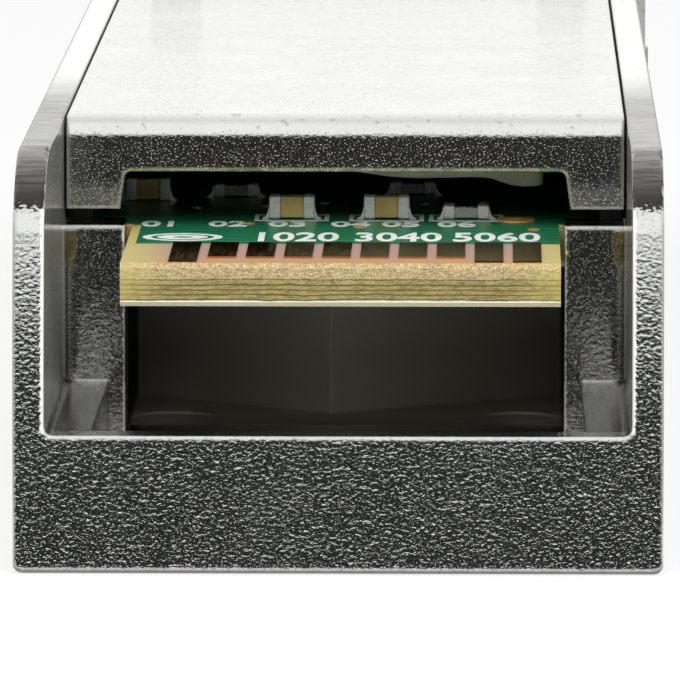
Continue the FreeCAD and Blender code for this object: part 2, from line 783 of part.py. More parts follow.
def emi_collar():
    # A thin three-sided clip round the top and sides of the body, with bowed fingers.
    t = COLLAR_THICKNESS
    rear = stop - COLLAR_LENGTH
    clip = wide_block(half_width + t, rear, stop, COLLAR_BASE_GAP, HEIGHT + t)
    clip = clip.cut(wide_block(half_width, rear - OVERCUT, stop + OVERCUT, 0, HEIGHT))
    fingers = []
    for side in (-1, 1):
        corner = V(side * TOP_FINGER_X - FINGER_WIDTH / 2, y_at(rear), HEIGHT)
        fingers.append(finger_face(corner, V(0, 0, 1)).extrude(V(FINGER_WIDTH, 0, 0)))
        for height in SIDE_FINGER_HEIGHTS:
            corner = V(side * half_width, y_at(rear), height - FINGER_WIDTH / 2)
            fingers.append(finger_face(corner, V(side, 0, 0)).extrude(V(0, 0, FINGER_WIDTH)))
    return fused([clip] + fingers)


def main():
    os.makedirs("parts", exist_ok=True)
    save("lower_housing", lower_housing())
    save("top_cover", top_cover())
    save("cover_screws", cover_screws())
    save("circuit_board", circuit_board())
    save("edge_contacts_upper", edge_contacts(board_top, board_top + PAD_THICKNESS))
    save("edge_contacts_lower", edge_contacts(board_bottom - PAD_THICKNESS, board_bottom))
    save("capacitor_bodies", chip_bodies(capacitor_places, CAPACITOR_HEIGHT))
    save("capacitor_terminals", chip_terminals(capacitor_places, CAPACITOR_HEIGHT))
    save("resistor_bodies", chip_bodies(resistor_places, RESISTOR_HEIGHT))
    save("resistor_terminals", chip_terminals(resistor_places, RESISTOR_HEIGHT))
    save("solder_joints", solder_joints())
    save("test_pad", test_pad())
    save("controller_chip", board_chip(CONTROLLER_SIZE, CONTROLLER_X, CONTROLLER_SETBACK))
    save("driver_chip", board_chip(DRIVER_SIZE, DRIVER_X, FRONT_CHIP_SETBACK))
    save("amplifier_chip", board_chip(AMPLIFIER_SIZE, AMPLIFIER_X, FRONT_CHIP_SETBACK))
    save("power_inductor", board_chip(INDUCTOR_SIZE, INDUCTOR_X, INDUCTOR_SETBACK))
    save("thermal_pad", thermal_pad())
    for name, side in (("transmitter", -1), ("receiver", 1)):
        save(name + "_can", optical_can(side))
        save(name + "_barrel", optical_barrel(side))
        save(name + "_flex", optical_flex(side))
    save("optics_clamp", optics_clamp())
    save("ferrule_sleeves", ferrule_sleeves())
    save("port_insert", port_insert())
    save("emi_collar", emi_collar())
    save("latch_slide", latch_slide())
    save("bail_shaft", bail_shaft())
    save("bail_lever", bail_lever())
    save("bail_grip", bail_grip())


main()
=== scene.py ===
import json
import math

import bpy
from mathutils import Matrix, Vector


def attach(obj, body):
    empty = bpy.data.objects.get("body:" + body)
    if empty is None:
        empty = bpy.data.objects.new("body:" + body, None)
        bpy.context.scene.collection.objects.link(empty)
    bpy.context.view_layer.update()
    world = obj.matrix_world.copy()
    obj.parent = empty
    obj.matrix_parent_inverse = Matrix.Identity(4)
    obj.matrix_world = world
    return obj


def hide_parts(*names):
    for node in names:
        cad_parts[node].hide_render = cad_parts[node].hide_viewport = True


# The looks of a small pluggable optical transceiver, seen on its card-edge end.
# Pieces are modelled in millimetres in the part's own frame and brought to metres at the end.
# "Depth" is the distance from the rear end, where the card edge is.

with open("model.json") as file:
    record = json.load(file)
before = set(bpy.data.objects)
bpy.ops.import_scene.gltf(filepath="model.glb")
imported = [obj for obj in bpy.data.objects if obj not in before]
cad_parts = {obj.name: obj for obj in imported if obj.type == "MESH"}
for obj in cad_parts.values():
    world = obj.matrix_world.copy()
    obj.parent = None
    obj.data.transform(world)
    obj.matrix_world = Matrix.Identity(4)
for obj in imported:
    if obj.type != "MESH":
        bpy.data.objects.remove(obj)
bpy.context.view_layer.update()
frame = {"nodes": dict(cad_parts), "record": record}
scene = bpy.context.scene

MM = 0.001
HALF_LENGTH = 28.25
BOARD_TOP = 6.04
BOARD_BOTTOM = 5.13
CEILING = 7.6
WHITE = (1.0, 1.0, 1.0, 1.0)
BLACK = (0.0, 0.0, 0.0, 1.0)


def at(x, depth, z):
    # A place in millimetres, given by its depth from the rear end.
    return Vector((x, depth - HALF_LENGTH, z))


def seen(red, green, blue):
    # A colour as the eye sees it, in 0 to 255, turned into the linear values that shaders use.
    linear = []
    for part in (red, green, blue):
        share = part / 255
        linear.append(share / 12.92 if share <= 0.04045 else ((share + 0.055) / 1.055) ** 2.4)
    return (*linear, 1.0)


def plain_grey(level):
    # A grey in the linear values that shaders use.
    return (level, level, level, 1.0)


# Shader building


def add(tree, kind, **settings):
    made = tree.nodes.new("ShaderNode" + kind)
    for name, value in settings.items():
        setattr(made, name, value)
    return made


def feed(tree, socket, value):
    # A socket takes another socket's output, or a plain value.
    if isinstance(value, bpy.types.NodeSocket):
        tree.links.new(value, socket)
    else:
        socket.default_value = value


def maths(tree, operation, first, second=None):
    made = add(tree, "Math", operation=operation)
    feed(tree, made.inputs[0], first)
    if second is not None:
        feed(tree, made.inputs[1], second)
    return made.outputs[0]


def times(tree, first, *others):
    # The product of masks or values, which keeps what all of them share.
    result = first
    for other in others:
        result = maths(tree, "MULTIPLY", result, other)
    return result


def span(tree, value, low, high, to_low=0.0, to_high=1.0):
    # A soft step: one result up to a first value, another from a second value on.
    made = add(tree, "MapRange", clamp=True)
    feed(tree, made.inputs["Value"], value)
    feed(tree, made.inputs["From Min"], low)
    feed(tree, made.inputs["From Max"], high)
    feed(tree, made.inputs["To Min"], to_low)
    feed(tree, made.inputs["To Max"], to_high)
    return made.outputs["Result"]


def by_mask(tree, mask, off, on):
    # One value where a mask is off, another where it is on.
    return span(tree, mask, 0.0, 1.0, off, on)


def blend_colours(tree, share, first, second):
    made = add(tree, "Mix", data_type="RGBA", blend_type="MIX")
    feed(tree, made.inputs["Factor"], share)
    feed(tree, made.inputs["A"], first)
    feed(tree, made.inputs["B"], second)
    return made.outputs["Result"]


def fill_ramp(ramp, stops):
    ends = (stops[0], stops[-1])
    for element, (position, colour) in zip(ramp.elements, ends):
        element.position = position
        element.color = colour
    for position, colour in stops[1:-1]:
        ramp.elements.new(position).color = colour


def split(tree, vector):
    made = add(tree, "SeparateXYZ")
    tree.links.new(vector, made.inputs[0])
    return made.outputs


def facing_of(tree):
    return split(tree, add(tree, "NewGeometry").outputs["Normal"])


def millimetres(tree):
    place = add(tree, "TexCoord")
    scaled = add(tree, "VectorMath", operation="SCALE")
    tree.links.new(place.outputs["Object"], scaled.inputs[0])
    scaled.inputs["Scale"].default_value = 1.0 / MM
    return scaled.outputs["Vector"]


def stretched(tree, vector, x, y, z):
    made = add(tree, "Mapping")
    tree.links.new(vector, made.inputs["Vector"])
    made.inputs["Scale"].default_value = (x, y, z)
    return made.outputs["Vector"]


def noise(tree, vector, scale, detail, rough):
    made = add(tree, "TexNoise")
    tree.links.new(vector, made.inputs["Vector"])
    feed(tree, made.inputs["Scale"], scale)
    made.inputs["Detail"].default_value = detail
    made.inputs["Roughness"].default_value = rough
    return made.outputs["Fac"]


def bump(tree, height, distance, soft_edge=0.0):
    # Turns a height into a normal, over edges that are softly rounded if a radius is given.
    made = add(tree, "Bump")
    made.inputs["Distance"].default_value = distance
    tree.links.new(height, made.inputs["Height"])
    if soft_edge:
        rounded = add(tree, "Bevel", samples=4)
        rounded.inputs["Radius"].default_value = soft_edge
        tree.links.new(rounded.outputs["Normal"], made.inputs["Normal"])
    return made.outputs["Normal"]


def new_group(name, inputs, outputs):
    tree = bpy.data.node_groups.new(name, "ShaderNodeTree")
    for label, value in inputs:
        socket = tree.interface.new_socket(label, in_out="INPUT", socket_type="NodeSocketFloat")
        socket.default_value = value
    for label in outputs:
        tree.interface.new_socket(label, in_out="OUTPUT", socket_type="NodeSocketFloat")
    way_in = tree.nodes.new("NodeGroupInput")
    way_out = tree.nodes.new("NodeGroupOutput")
    return tree, way_in.outputs, way_out.inputs


def use_group(tree, group, **values):
    made = add(tree, "Group")
    made.node_tree = group
    for label, value in values.items():
        made.inputs[label.replace("_", " ")].default_value = value
    return made.outputs


def cast_grain_group():
    # The pebbled skin of a cast and plated metal: grains, a finer tooth on them, scattered steep
    # pits that glint, and slow changes of tone.
    tree, given, result = new_group("cast_grain", [("Grains per mm", 6.0), ("Tooth", 0.35)],
                                    ["Height", "Pits", "Tone"])
    finer_tooth = 2.7
    finer_pits = 2.1
    place = stretched(tree, millimetres(tree), 0.78, 1.0, 1.0)
    grains = noise(tree, place, given["Grains per mm"], 0.6, 0.5)
    tooth = noise(tree, place, times(tree, given["Grains per mm"], finer_tooth), 1.0, 0.5)
    pits = noise(tree, place, times(tree, given["Grains per mm"], finer_pits), 1.0, 0.5)
    feed(tree, result["Height"], maths(tree, "ADD", grains, times(tree, tooth, given["Tooth"])))
    feed(tree, result["Pits"], span(tree, pits, 0.62, 0.76))
    feed(tree, result["Tone"], noise(tree, place, 0.55, 4.0, 0.6))
    return tree


def drawn_lines_group():
    # Fine lines left by drawing, stamping or polishing, running across the part.
    tree, given, result = new_group("drawn_lines", [("Lines per mm", 14.0)], ["Height", "Tone"])
    place = stretched(tree, millimetres(tree), 0.05, 1.0, 1.0)
    lines = noise(tree, place, given["Lines per mm"], 2.0, 0.6)
    feed(tree, result["Height"], lines)
    feed(tree, result["Tone"], span(tree, lines, 0.35, 0.7))
    return tree


def dull_spots_group():
    # Handling marks: soft cloudy patches and small specks that dull a clean surface.
    tree, given, result = new_group("dull_spots", [("Patches per mm", 0.8), ("Specks per mm", 7.0)],
                                    ["Patches", "Specks"])
    place = millimetres(tree)
    clouds = noise(tree, place, given["Patches per mm"], 5.0, 0.62)
    feed(tree, result["Patches"], span(tree, clouds, 0.38, 0.68))
    specks = noise(tree, place, given["Specks per mm"], 2.0, 0.5)
    feed(tree, result["Specks"], span(tree, specks, 0.62, 0.72))
    return tree


cast_grain = cast_grain_group()
drawn_lines = drawn_lines_group()
dull_spots = dull_spots_group()


def new_material(name):
    material = bpy.data.materials.new(name)
    material.use_nodes = True
    tree = material.node_tree
    return material, tree, tree.nodes["Principled BSDF"].inputs


# Zones of the casting. Each pair says where a zone starts and where it is full, in millimetres,
# as a depth from the rear end, a level above the floor or a distance from the middle.
ABOVE_THE_FLOOR = (0.5, 0.6)
BAY_DEPTH = (9.4, 11.4)
BAY_TOP = (BOARD_BOTTOM - 0.02, BOARD_BOTTOM - 0.12)
BAY_HALF_WIDTH = (4.72, 4.66)
SEAM_REAR = (9.9, 10.1)
SEAM_FRONT = (44.0, 43.0)
SEAM_TOP = (7.5, 7.4)
SEAM_HALF_WIDTH = (6.06, 6.04)
SIDE_WALLS = (6.0, 6.06)
UPPER_WALLS = (5.2, 6.8)
DRESSED_PAINTED_DEPTH = (18.0, 12.5)
DRESSED_PAINTED_FOOT = (7.42, 7.48)
DRESSED_PAINTED_TURN = (7.4, 8.5)
LEDGES_REAR = (0.98, 1.06)
LEDGES_TOP = (6.35, 6.3)
INNER_EDGE = (6.14, 6.11)
INNER_EDGE_FOOT = (2.85, 2.95)
OUTER_EDGE = (6.63, 6.66)
EDGES_TOP = (7.48, 7.42)
POST_CORNER_START = (4.60, 4.62)
POST_CORNER_END = (4.78, 4.75)
POSTS_FRONT = (9.0, 8.9)
BROW_REAR = (9.1, 9.15)
BROW_FRONT = (9.5, 9.4)
BROW_HALF_WIDTH = (6.04, 6.02)
LEG_FEET = (7.3, 6.9)
FLANGE_DEPTH = (40.0, 42.0)
CHEEK_START = (5.9, 5.98)
CHEEK_END = (6.1, 6.07)

# The same for the way a face looks, as a share of its normal
TO_THE_REAR = (-0.2, -0.45)
SQUARE_TO_THE_REAR = (-0.8, -0.95)
TO_THE_SIDE = (0.8, 0.9)
NOT_TO_THE_SIDE = (0.95, 0.85)


def cast_nickel_look():
    material, tree, surface = new_material("cast_nickel_plate")
    grain = use_group(tree, cast_grain, Grains_per_mm=14.0, Tooth=0.2)
    marks = use_group(tree, dull_spots, Patches_per_mm=0.5, Specks_per_mm=5.0)
    place = millimetres(tree)
    across, along, level = split(tree, place)
    facing = facing_of(tree)
    away = maths(tree, "ABSOLUTE", across)
    depth = maths(tree, "ADD", along, HALF_LENGTH)
    sideways = maths(tree, "ABSOLUTE", facing["X"])
    indoors = span(tree, level, *ABOVE_THE_FLOOR)
    wall = span(tree, away, *SIDE_WALLS)
    ragged = maths(tree, "ADD", level, span(tree, grain["Height"], 0.3, 0.9, -0.13, 0.13))
    frayed = maths(tree, "ADD", away, span(tree, grain["Height"], 0.3, 0.9, -0.03, 0.03))

    tone = blend_colours(tree, grain["Tone"], seen(208, 209, 205), seen(224, 225, 221))
    tone = blend_colours(tree, times(tree, marks["Specks"], 0.5), tone, seen(148, 146, 140))

    # Deep in the bay below the board, and in the seam under the cover, the casting is dull and dark; in
    # the bay the dark is painted shade in its colour
    bay = times(tree, span(tree, depth, *BAY_DEPTH), span(tree, level, *BAY_TOP),
                span(tree, away, *BAY_HALF_WIDTH))
    seam = times(tree, span(tree, depth, *SEAM_REAR), span(tree, depth, *SEAM_FRONT),
                 span(tree, level, *SEAM_TOP), span(tree, away, *SEAM_HALF_WIDTH))
    dull_and_shaded = times(tree, maths(tree, "MAXIMUM", bay, seam), indoors)
    tone = blend_colours(tree, dull_and_shaded, tone, blend_colours(tree, bay, seen(58, 56, 53), seen(222, 214, 199)))

    # The rear ends of the side walls are dressed with cross ripples, and their colour is a painted
    # reflection: near black at the foot, greyer as they turn up to the top, crossed by mid-grey ripple
    # bands
    dressed_with_painted_reflection = times(tree, wall, span(tree, depth, *DRESSED_PAINTED_DEPTH),
                    span(tree, sideways, *NOT_TO_THE_SIDE), span(tree, ragged, *DRESSED_PAINTED_FOOT))
    turned = span(tree, level, *DRESSED_PAINTED_TURN)
    ripples = noise(tree, stretched(tree, place, 0.9, 6.0, 15.0), 1.0, 2.0, 0.6)
    painted_reflection_grey = blend_colours(tree, turned, seen(22, 21, 20), seen(138, 136, 132))
    painted_reflection_grey = blend_colours(tree, span(tree, ripples, 0.42, 0.6, 0.0, 0.75), painted_reflection_grey, seen(70, 68, 64))
    tone = blend_colours(tree, dressed_with_painted_reflection, tone, painted_reflection_grey)

    # Between the side walls the ledges and posts are a little smoother, and painted a little darker as
    # shade in the recess
    sunken = times(tree, span(tree, depth, *LEDGES_REAR), span(tree, level, *LEDGES_TOP), indoors,
                   maths(tree, "SUBTRACT", 1.0, wall))
    tone = blend_colours(tree, times(tree, sunken, 0.35), tone, seen(110, 105, 97))

    # Painted highlights on edges, in a near-white colour: along the rear of the side walls, and down the
    # inner corners of the posts
    inner_line = times(tree, wall, span(tree, frayed, *INNER_EDGE), span(tree, level, *INNER_EDGE_FOOT))
    outer_line = span(tree, frayed, *OUTER_EDGE, 0.0, 0.3)
    wall_lines = times(tree, maths(tree, "MAXIMUM", inner_line, outer_line), span(tree, level, *EDGES_TOP))
    post_line = times(tree, sunken, span(tree, frayed, *POST_CORNER_START),
                      span(tree, frayed, *POST_CORNER_END), span(tree, depth, *POSTS_FRONT))
    painted_edge_highlight = times(tree, maths(tree, "MAXIMUM", wall_lines, post_line),
                   span(tree, facing["Y"], *TO_THE_REAR))
    tone = blend_colours(tree, painted_edge_highlight, tone, seen(240, 239, 235))
    feed(tree, surface["Base Color"], tone)

    # The cover's rear face is cleaner, but scuffed at the feet of its legs, and the flange is matte
    brow = times(tree, span(tree, depth, *BROW_REAR), span(tree, depth, *BROW_FRONT),
                 span(tree, away, *BROW_HALF_WIDTH))
    scuffed = times(tree, brow, span(tree, ragged, *LEG_FEET))
    flange = times(tree, span(tree, depth, *FLANGE_DEPTH), span(tree, facing["Y"], *SQUARE_TO_THE_REAR))
    rough = times(tree, by_mask(tree, marks["Patches"], 0.08, 0.15), by_mask(tree, brow, 1.0, 0.5))
    for zone, extra in ((dull_and_shaded, 0.42), (dressed_with_painted_reflection, 0.12), (flange, 0.4), (scuffed, 0.2)):
        rough = maths(tree, "ADD", rough, times(tree, zone, extra))
    feed(tree, surface["Roughness"], rough)

    # Dull and shaded zones, the inner cheeks of the side walls and the painted edge highlights mirror less
    cheek = times(tree, span(tree, away, *CHEEK_START), span(tree, away, *CHEEK_END),
                  span(tree, sideways, *TO_THE_SIDE))
    unmirrored = times(tree, dull_and_shaded, 0.85)
    for zone, share in ((cheek, 0.4), (painted_edge_highlight, 0.85)):
        unmirrored = maths(tree, "MAXIMUM", unmirrored, times(tree, zone, share))
    feed(tree, surface["Metallic"], maths(tree, "SUBTRACT", 1.0, unmirrored))

    # The grain is flatter on the smoother zones, and the dressed ends are combed
    smoother = maths(tree, "MAXIMUM", sunken, dressed_with_painted_reflection)
    upper = times(tree, wall, span(tree, level, *UPPER_WALLS))
    grains = grain["Height"]
    for zone, strength in ((smoother, 0.45), (brow, 0.32), (scuffed, 3.0), (upper, 0.22)):
        grains = times(tree, grains, by_mask(tree, zone, 1.0, strength))
    pits = times(tree, grain["Pits"], by_mask(tree, dressed_with_painted_reflection, 0.24, 0.05), by_mask(tree, brow, 1.0, 1.05))
    combed = times(tree, dressed_with_painted_reflection, turned, ripples)
    relief = maths(tree, "ADD", maths(tree, "SUBTRACT", grains, pits), combed)
    feed(tree, surface["Normal"], bump(tree, relief, 1.35e-5, 9.0e-5))
    return material


def plain_metal_look(name, dark, light, rough_low, rough_high, grains, depth, metal=1.0):
    material, tree, surface = new_material(name)
    grain = use_group(tree, cast_grain, Grains_per_mm=grains, Tooth=0.5)
    marks = use_group(tree, dull_spots, Patches_per_mm=0.9, Specks_per_mm=9.0)
    tone = blend_colours(tree, grain["Tone"], dark, light)
    feed(tree, surface["Base Color"], tone)
    feed(tree, surface["Roughness"], by_mask(tree, marks["Patches"], rough_low, rough_high))
    surface["Metallic"].default_value = metal
    feed(tree, surface["Normal"], bump(tree, grain["Height"], depth))
    return material


def drawn_metal_look(name, dark, light, rough_low, rough_high, lines, depth):
    material, tree, surface = new_material(name)
    drawn = use_group(tree, drawn_lines, Lines_per_mm=lines)
    marks = use_group(tree, dull_spots, Patches_per_mm=0.7, Specks_per_mm=8.0)
    tone = blend_colours(tree, drawn["Tone"], dark, light)
    feed(tree, surface["Base Color"], tone)
    feed(tree, surface["Roughness"], by_mask(tree, marks["Patches"], rough_low, rough_high))
    surface["Metallic"].default_value = 1.0
    feed(tree, surface["Normal"], bump(tree, drawn["Height"], depth))
    return material


def matte_look(name, dark, light, rough_low, rough_high, grains, depth):
    material, tree, surface = new_material(name)
    grain = use_group(tree, cast_grain, Grains_per_mm=grains, Tooth=0.6)
    marks = use_group(tree, dull_spots, Patches_per_mm=1.2, Specks_per_mm=10.0)
    tone = blend_colours(tree, marks["Patches"], dark, light)
    feed(tree, surface["Base Color"], tone)
    feed(tree, surface["Roughness"], span(tree, grain["Tone"], 0.3, 0.7, rough_low, rough_high))
    feed(tree, surface["Normal"], bump(tree, grain["Height"], depth))
    return material


def board_look():
    # Glass-fibre laminate: layered cut edges, bare amber laminate at the contacts, green lacquer beyond.
    material, tree, surface = new_material("layered_board")
    lacquer_depth = (6.58, 6.62)
    left_margin = (-4.42, -4.40)
    left_margin_end = (9.8, 10.0)
    pale_skin = (0.13, 0.17)
    plies_end = (0.64, 0.6)
    place = millimetres(tree)
    across, along, level = split(tree, place)
    away = maths(tree, "ABSOLUTE", across)
    depth = maths(tree, "ADD", along, HALF_LENGTH)
    flat = span(tree, maths(tree, "ABSOLUTE", facing_of(tree)["Z"]), 0.8, 0.9)

    # The lacquer's traces, lighter where copper lies below
    slanted = add(tree, "Mapping")
    tree.links.new(place, slanted.inputs["Vector"])
    slanted.inputs["Rotation"].default_value = (0.0, 0.0, math.radians(28))
    slanted.inputs["Scale"].default_value = (0.35, 1.4, 1.0)
    traces = add(tree, "TexWave", wave_type="BANDS", bands_direction="Y")
    tree.links.new(slanted.outputs["Vector"], traces.inputs["Vector"])
    traces.inputs["Scale"].default_value = 0.55
    traces.inputs["Distortion"].default_value = 1.6
    traces.inputs["Detail"].default_value = 1.0
    copper = span(tree, traces.outputs["Fac"], 0.72, 0.78)
    lacquer = blend_colours(tree, copper, seen(14, 108, 76), seen(64, 148, 98))
    cloud = noise(tree, place, 1.4, 4.0, 0.6)
    lacquer = blend_colours(tree, span(tree, cloud, 0.35, 0.7, 0.0, 0.35), lacquer, seen(4, 62, 44))

    # Bare laminate, amber at its front edge, mauve between the contacts and paler towards the two corners
    bare = blend_colours(tree, span(tree, depth, 3.5, 4.6), seen(188, 136, 86), seen(166, 138, 126))
    weave = noise(tree, stretched(tree, place, 3.0, 9.0, 1.0), 1.0, 3.0, 0.6)
    bare = blend_colours(tree, span(tree, weave, 0.4, 0.65, 0.0, 0.35), bare, seen(158, 111, 86))
    bare = blend_colours(tree, span(tree, away, 3.4, 4.4), bare, seen(188, 172, 108))

    # The lacquer starts behind the contacts and keeps clear of the card's left side
    margin = maths(tree, "MAXIMUM", span(tree, across, *left_margin), span(tree, depth, *left_margin_end))
    coated = times(tree, span(tree, depth, *lacquer_depth), margin)
    top = blend_colours(tree, coated, bare, lacquer)

    # Cut edge: a pale skin below, olive glass plies with dark resin lines, a ragged tan skin above
    height = span(tree, level, BOARD_BOTTOM, BOARD_TOP)
    wander = noise(tree, stretched(tree, place, 0.9, 0.9, 3.0), 1.0, 3.0, 0.6)
    wavy = maths(tree, "ADD", height, span(tree, wander, 0.3, 0.7, -0.02, 0.02))
    plies = add(tree, "ValToRGB")
    tree.links.new(wavy, plies.inputs["Fac"])
    pale = seen(244, 238, 210)
    olive = seen(170, 155, 98)
    line = seen(72, 62, 28)
    tan = seen(188, 164, 114)
    stops = [(0.0, pale), (0.13, pale), (0.16, line), (0.19, olive), (0.25, olive), (0.275, line),
             (0.30, olive), (0.36, olive), (0.385, line), (0.41, olive), (0.47, olive), (0.50, line),
             (0.53, olive), (0.60, olive), (0.625, line), (0.65, tan), (1.0, tan)]
    fill_ramp(plies.color_ramp, stops)
    fibres = noise(tree, stretched(tree, place, 9.0, 9.0, 30.0), 1.0, 3.0, 0.65)
    above_skin = span(tree, height, *pale_skin)
    shade = times(tree, span(tree, fibres, 0.44, 0.64, 0.0, 0.6), above_skin)
    edge = blend_colours(tree, shade, plies.outputs["Color"], seen(92, 78, 38))
    broken = noise(tree, stretched(tree, place, 3.2, 3.2, 26.0), 1.0, 4.0, 0.7)
    stain = times(tree, span(tree, broken, 0.5, 0.62, 0.0, 0.55), span(tree, height, *plies_end),
                  above_skin)
    edge = blend_colours(tree, stain, edge, seen(98, 80, 34))
    glints = span(tree, noise(tree, place, 24.0, 2.0, 0.6), 0.52, 0.68, 0.0, 0.6)
    glints = times(tree, glints, span(tree, height, 0.5, 0.75))
    edge = blend_colours(tree, glints, edge, seen(236, 230, 206))
    yellow = times(tree, span(tree, away, 3.6, 4.5, 0.0, 0.4), above_skin)
    edge = blend_colours(tree, yellow, edge, seen(208, 194, 112))

    feed(tree, surface["Base Color"], blend_colours(tree, flat, edge, top))
    feed(tree, surface["Roughness"], by_mask(tree, times(tree, flat, coated), 0.62, 0.3))
    relief = blend_colours(tree, flat, times(tree, fibres, above_skin), times(tree, cloud, 0.3))
    feed(tree, surface["Normal"], bump(tree, relief, 2.5e-5))
    return material


def gold_look(name, rough_low, rough_high, metal=1.0):
    material, tree, surface = new_material(name)
    place = millimetres(tree)
    wipes = noise(tree, stretched(tree, place, 22.0, 0.9, 1.0), 1.0, 2.0, 0.6)
    marks = use_group(tree, dull_spots, Patches_per_mm=1.6, Specks_per_mm=12.0)
    tone = blend_colours(tree, span(tree, wipes, 0.35, 0.7), seen(214, 164, 84), seen(232, 190, 116))
    tone = blend_colours(tree, marks["Patches"], tone, seen(196, 140, 78))
    feed(tree, surface["Base Color"], tone)
    feed(tree, surface["Roughness"], span(tree, wipes, 0.3, 0.7, rough_low, rough_high))
    surface["Metallic"].default_value = metal
    feed(tree, surface["Normal"], bump(tree, wipes, 3.0e-7))
    return material


def resistor_look():
    # A white ceramic chip with a dark glaze over its top.
    material, tree, surface = new_material("glazed_chip")
    glaze_level = (BOARD_TOP + 0.24, BOARD_TOP + 0.26)
    place = millimetres(tree)
    uneven = noise(tree, place, 9.0, 3.0, 0.6)
    level = maths(tree, "ADD", split(tree, place)["Z"], span(tree, uneven, 0.3, 0.7, -0.02, 0.02))
    glaze = span(tree, level, *glaze_level)
    ceramic = blend_colours(tree, uneven, seen(164, 162, 158), seen(196, 194, 190))
    feed(tree, surface["Base Color"], blend_colours(tree, glaze, ceramic, seen(26, 25, 27)))
    feed(tree, surface["Roughness"], by_mask(tree, glaze, 0.6, 0.25))
    feed(tree, surface["Normal"], bump(tree, uneven, 6.0e-6))
    return material


looks = {
    "cast_nickel": cast_nickel_look(),
    "pin_steel": drawn_metal_look("turned_steel", seen(168, 166, 163), seen(196, 194, 190),
                                  0.2, 0.34, 18.0, 3.0e-6),
    "laminate": board_look(),
    "gold": gold_look("contact_gold", 0.1, 0.18),
    "ring_gold": gold_look("ring_gold", 0.3, 0.4, 0.35),
    "tan_ceramic": matte_look("tan_ceramic", seen(198, 170, 98), seen(222, 198, 132),
                              0.3, 0.5, 16.0, 6.0e-6),
    "tin": plain_metal_look("dull_tin", seen(222, 220, 214), seen(240, 238, 232),
                            0.24, 0.4, 14.0, 1.6e-5, 0.3),
    "black_glaze": resistor_look(),
    "solder": plain_metal_look("bright_solder", seen(212, 211, 208), seen(236, 235, 232),
                               0.12, 0.26, 8.0, 6.0e-6, 0.6),
    "black_resin": matte_look("black_resin", seen(22, 22, 24), seen(40, 40, 42), 0.42, 0.6, 18.0, 8.0e-6),
    "ferrite": matte_look("grey_ferrite", seen(52, 50, 50), seen(84, 82, 80), 0.5, 0.7, 12.0, 1.2e-5),
    "pale_filler": matte_look("pale_filler", seen(214, 210, 186), seen(232, 229, 208),
                              0.5, 0.7, 7.0, 3.0e-5),
    "can_steel": drawn_metal_look("plated_can", seen(176, 170, 156), seen(206, 202, 192),
                                  0.16, 0.3, 10.0, 4.0e-6),
    "amber_film": matte_look("amber_film", seen(164, 96, 30), seen(190, 122, 48), 0.25, 0.4, 5.0, 6.0e-6),
    "clamp_metal": plain_metal_look("stamped_clamp", seen(150, 149, 148), seen(188, 187, 184),
                                    0.26, 0.42, 9.0, 1.0e-5),
    "white_ceramic": matte_look("white_ceramic", seen(224, 220, 210), seen(238, 235, 228),
                                0.18, 0.3, 15.0, 3.0e-6),
    "black_plastic": matte_look("black_moulding", seen(18, 18, 20), seen(34, 34, 37),
                                0.4, 0.58, 11.0, 1.4e-5),
    "spring_steel": drawn_metal_look("spring_strip", seen(200, 196, 186), seen(222, 219, 212),
                                     0.42, 0.55, 12.0, 4.0e-6),
    "slide_metal": plain_metal_look("slide_plate", seen(170, 169, 167), seen(204, 203, 200),
                                    0.2, 0.34, 10.0, 9.0e-6),
    "bail_metal": plain_metal_look("bail_plate", seen(176, 174, 170), seen(208, 206, 202),
                                   0.18, 0.32, 8.0, 1.2e-5),
    "print_white": matte_look("print_white", seen(222, 226, 222), seen(240, 242, 238),
                              0.4, 0.55, 14.0, 4.0e-6),
    "grip_plastic": matte_look("grip_moulding", seen(24, 62, 120), seen(36, 82, 146),
                               0.36, 0.5, 9.0, 1.6e-5),
}


def dress_cad_nodes():
    for entry in frame["record"]["subparts"]:
        look = "ring_gold" if entry["node"] == "test_pad" else entry["material_slot"]
        for slot in frame["nodes"][entry["node"]].material_slots:
            slot.material = looks[look]


# Modelling helpers


def only(piece):
    bpy.ops.object.select_all(action="DESELECT")
    piece.select_set(True)
    bpy.context.view_layer.objects.active = piece


def block(name, low, high):
    # A block between two corners.
    bpy.ops.object.select_all(action="DESELECT")
    bpy.ops.mesh.primitive_cube_add(size=1.0, location=(low + high) / 2)
    piece = bpy.context.object
    piece.name = name
    piece.scale = high - low
    bpy.ops.object.transform_apply(location=True, rotation=False, scale=True)
    return piece


def rod(name, middle, radius, height, sides, turn=(0.0, 0.0, 0.0)):
    bpy.ops.object.select_all(action="DESELECT")
    bpy.ops.mesh.primitive_cylinder_add(vertices=sides, radius=radius, depth=height, location=middle,
                                        rotation=turn)
    piece = bpy.context.object
    piece.name = name
    bpy.ops.object.transform_apply(location=True, rotation=True, scale=True)
    return piece


def edit_all(piece):
    # Opens a piece for editing with all of it selected.
    only(piece)
    bpy.ops.object.mode_set(mode="EDIT")
    bpy.ops.mesh.select_all(action="SELECT")


def end_edit():
    bpy.ops.object.mode_set(mode="OBJECT")


def stretch_about(piece, amounts, middle):
    edit_all(piece)
    bpy.ops.transform.resize(value=amounts, center_override=middle)
    end_edit()


def round_edges(piece, radius, segments):
    edit_all(piece)
    bpy.ops.mesh.bevel(offset=radius, segments=segments, profile=0.5, affect="EDGES")
    end_edit()
    return piece


def cut_away(piece, cutter):
    # Takes one solid out of another and removes the tool.
    only(piece)
    cut = piece.modifiers.new("cut", "BOOLEAN")
    cut.operation = "DIFFERENCE"
    cut.solver = "EXACT"
    cut.object = cutter
    bpy.ops.object.modifier_apply(modifier=cut.name)
    bpy.data.objects.remove(cutter)
    return piece


